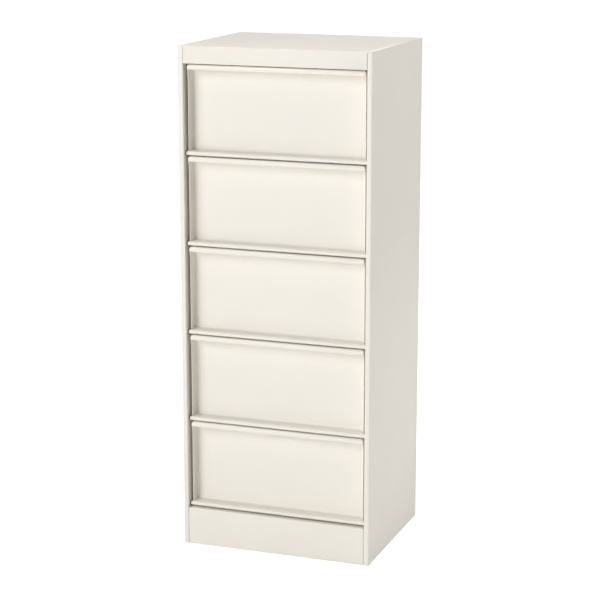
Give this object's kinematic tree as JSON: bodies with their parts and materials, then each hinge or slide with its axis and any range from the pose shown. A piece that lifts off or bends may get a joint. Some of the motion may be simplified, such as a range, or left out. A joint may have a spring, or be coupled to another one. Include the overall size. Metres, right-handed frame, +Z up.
{
  "type": "metal filing cabinet",
  "caption": "Tall narrow filing cabinet in ivory powder-coated steel, with drop-down flaps hinged along their lower edges in front of fixed shelves.",
  "frame": {"origin": "on the floor, in the middle of the cabinet's footprint", "axes": "+X to the cabinet's right seen from the front, +Y to the back, +Z up; the flaps face -Y"},
  "size_m": [0.415, 0.345, 1.065],
  "materials": {
    "shell_paint": "satin ivory powder coat on 1 mm steel sheet, fine orange-peel texture",
    "flap_paint": "satin ivory powder coat on 1 mm steel sheet, fine orange-peel texture",
    "rod_steel": "bright drawn steel",
    "black_nylon": "moulded nylon, semi-matt",
    "bumper_rubber": "soft rubber, matt",
    "zinc_steel": "zinc-plated steel",
    "rivet_paint": "ivory rivets, painted with the shell"
  },
  "bodies": {
    "cabinet": {"side_panel_left": "shell_paint", "side_panel_right": "shell_paint", "back_panel": "shell_paint", "top_cover": "shell_paint", "header_rail": "shell_paint", "kick_plate": "shell_paint", "shelf_1": "shell_paint", "shelf_2": "shell_paint", "shelf_3": "shell_paint", "shelf_4": "shell_paint", "shelf_5": "shell_paint", "pivot_bushes_left": "black_nylon", "pivot_bushes_right": "black_nylon", "flap_bumpers": "bumper_rubber", "shelf_screws": "zinc_steel", "kick_screws": "zinc_steel", "back_rivets": "rivet_paint", "floor_glides": "black_nylon"},
    "flap_1": {"flap_panel_1": "flap_paint", "hinge_rod_1": "rod_steel"},
    "flap_2": {"flap_panel_2": "flap_paint", "hinge_rod_2": "rod_steel"},
    "flap_3": {"flap_panel_3": "flap_paint", "hinge_rod_3": "rod_steel"},
    "flap_4": {"flap_panel_4": "flap_paint", "hinge_rod_4": "rod_steel"},
    "flap_5": {"flap_panel_5": "flap_paint", "hinge_rod_5": "rod_steel"}
  },
  "joints": [
    {"name": "flap_1_hinge", "type": "hinge", "parent": "cabinet", "child": "flap_1", "pos_m": [0, -0.16, 0.0906], "axis": [1, 0, 0], "range_deg": [0, 115]},
    {"name": "flap_2_hinge", "type": "hinge", "parent": "cabinet", "child": "flap_2", "pos_m": [0, -0.16, 0.2792], "axis": [1, 0, 0], "range_deg": [0, 115]},
    {"name": "flap_3_hinge", "type": "hinge", "parent": "cabinet", "child": "flap_3", "pos_m": [0, -0.16, 0.4678], "axis": [1, 0, 0], "range_deg": [0, 115]},
    {"name": "flap_4_hinge", "type": "hinge", "parent": "cabinet", "child": "flap_4", "pos_m": [0, -0.16, 0.6564], "axis": [1, 0, 0], "range_deg": [0, 115]},
    {"name": "flap_5_hinge", "type": "hinge", "parent": "cabinet", "child": "flap_5", "pos_m": [0, -0.16, 0.845], "axis": [1, 0, 0], "range_deg": [0, 115]}
  ]
}
